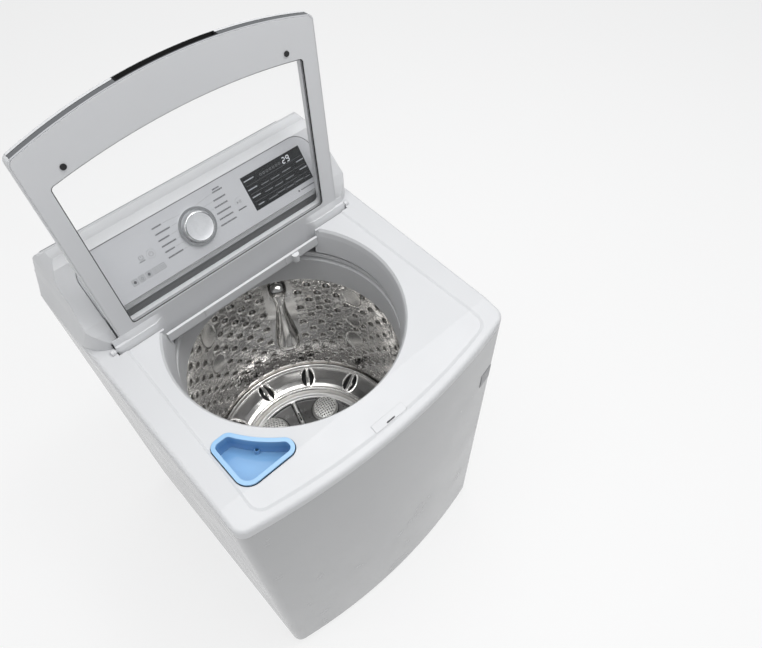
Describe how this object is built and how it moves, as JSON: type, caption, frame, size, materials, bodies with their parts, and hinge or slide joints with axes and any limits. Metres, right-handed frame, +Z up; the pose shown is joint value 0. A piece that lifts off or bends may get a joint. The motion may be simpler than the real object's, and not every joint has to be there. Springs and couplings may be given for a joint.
{
  "type": "top load washing machine",
  "caption": "White top load washing machine: lift-up glass lid, sloping rear console with knob and keys, lift-out cup, sprung tub with a spinning stainless basket and wash plate.",
  "frame": {"origin": "on the floor, under the middle of the whole machine", "axes": "+X to the right seen from the front, front faces -Y, +Z up; drawn with the lid standing open"},
  "size_m": [0.686, 0.74, 1.4615],
  "materials": {
    "white_enamel": "gloss",
    "white_plastic": "gloss",
    "grey_plastic": "satin",
    "lid_grey": "satin",
    "panel_silver": "satin metallic paint",
    "galvanised": "galvanised",
    "stainless": "brushed stainless",
    "chrome": "polished",
    "satin_chrome": "satin",
    "clear_glass": "clear",
    "display_black": "gloss",
    "board_green": "satin",
    "rubber_black": "matte",
    "cup_blue": "gloss",
    "tub_plastic": "satin",
    "pulsator_plastic": "satin",
    "bearing_steel": "ground",
    "cast_alloy": "cast",
    "copper_stack": "varnished",
    "spring_steel": "zinc plated"
  },
  "bodies": {
    "cabinet": {"cabinet_shell": "white_enamel", "rear_panel": "galvanised", "base_frame": "galvanised", "levelling_feet": "rubber_black", "foot_lock_nuts": "spring_steel", "top_cover": "white_plastic", "water_inlet_bar": "grey_plastic", "lid_switch_housing": "grey_plastic", "lid_switch_plate": "white_plastic", "front_badge": "satin_chrome", "console_housing": "white_plastic", "console_rear_cover": "galvanised", "control_panel": "panel_silver", "display_window": "display_black", "display_board": "board_green", "control_board": "board_green", "knob_encoder": "grey_plastic", "knob_bezel": "chrome", "hinge_pins": "bearing_steel", "suspension_hangers": "galvanised", "suspension_rods": "spring_steel", "suspension_springs": "spring_steel", "inlet_valve": "tub_plastic", "drain_spigot": "grey_plastic", "power_gland": "rubber_black", "rear_screws": "spring_steel", "drain_pump": "tub_plastic"},
    "lid": {"lid_top_panel": "white_plastic", "lid_inner_frame": "lid_grey", "lid_glass": "clear_glass", "lid_gasket": "rubber_black", "lid_chrome_trim": "satin_chrome", "lid_handle_insert": "display_black", "lid_bumpers": "rubber_black", "lid_magnet": "bearing_steel"},
    "tub": {"outer_tub": "tub_plastic", "tub_cover": "grey_plastic", "bearing_housing": "cast_alloy", "tub_bearings": "bearing_steel", "water_seal": "rubber_black", "stator": "copper_stack"},
    "basket": {"basket_drum": "stainless", "basket_base": "stainless", "balance_ring": "grey_plastic", "basket_hub": "cast_alloy", "basket_sleeve": "bearing_steel", "lint_filters": "pulsator_plastic"},
    "agitator": {"pulsator": "pulsator_plastic", "pulsator_cap": "chrome", "drive_shaft": "bearing_steel", "rotor": "galvanised", "rotor_nut": "bearing_steel"},
    "selector": {"cycle_knob": "chrome"},
    "power_key": {"power_button": "panel_silver"},
    "start_key": {"start_button": "panel_silver"},
    "cup": {"detergent_cup": "cup_blue"},
    "impeller": {"pump_impeller": "grey_plastic"}
  },
  "joints": [
    {"name": "lid_hinge", "type": "hinge", "parent": "cabinet", "child": "lid", "pos_m": [0, 0.135, 0.96], "axis": [-1, 0, 0], "range_deg": [-94, 0]},
    {"name": "tub_bounce", "type": "slide", "parent": "cabinet", "child": "tub", "axis": [0, 0, 1], "range_m": [-0.02, 0.005], "stiffness_N_per_m": 12000, "springref_m": 0.03, "deforming": ["suspension_springs"]},
    {"name": "basket_spin", "type": "hinge", "parent": "tub", "child": "basket", "pos_m": [0, -0.024, 0.3], "axis": [0, 0, 1], "continuous": true},
    {"name": "agitator_spin", "type": "hinge", "parent": "tub", "child": "agitator", "pos_m": [0, -0.024, 0.3], "axis": [0, 0, 1], "continuous": true},
    {"name": "knob_turn", "type": "hinge", "parent": "cabinet", "child": "selector", "pos_m": [-0.031, 0.20142, 1.07366], "axis": [0, -0.8141, 0.5807], "continuous": true},
    {"name": "power_press", "type": "slide", "parent": "cabinet", "child": "power_key", "axis": [0, 0.8141, -0.5807], "range_m": [0, 0.0015], "stiffness_N_per_m": 700, "springref_m": -0.0004},
    {"name": "start_press", "type": "slide", "parent": "cabinet", "child": "start_key", "axis": [0, 0.8141, -0.5807], "range_m": [0, 0.0015], "stiffness_N_per_m": 700, "springref_m": -0.0004},
    {"name": "cup_lift", "type": "slide", "parent": "cabinet", "child": "cup", "axis": [0, 0, 1], "range_m": [0, 0.1]},
    {"name": "pump_spin", "type": "hinge", "parent": "cabinet", "child": "impeller", "pos_m": [0.222, -0.15, 0.08], "axis": [0, 0, 1], "continuous": true}
  ]
}
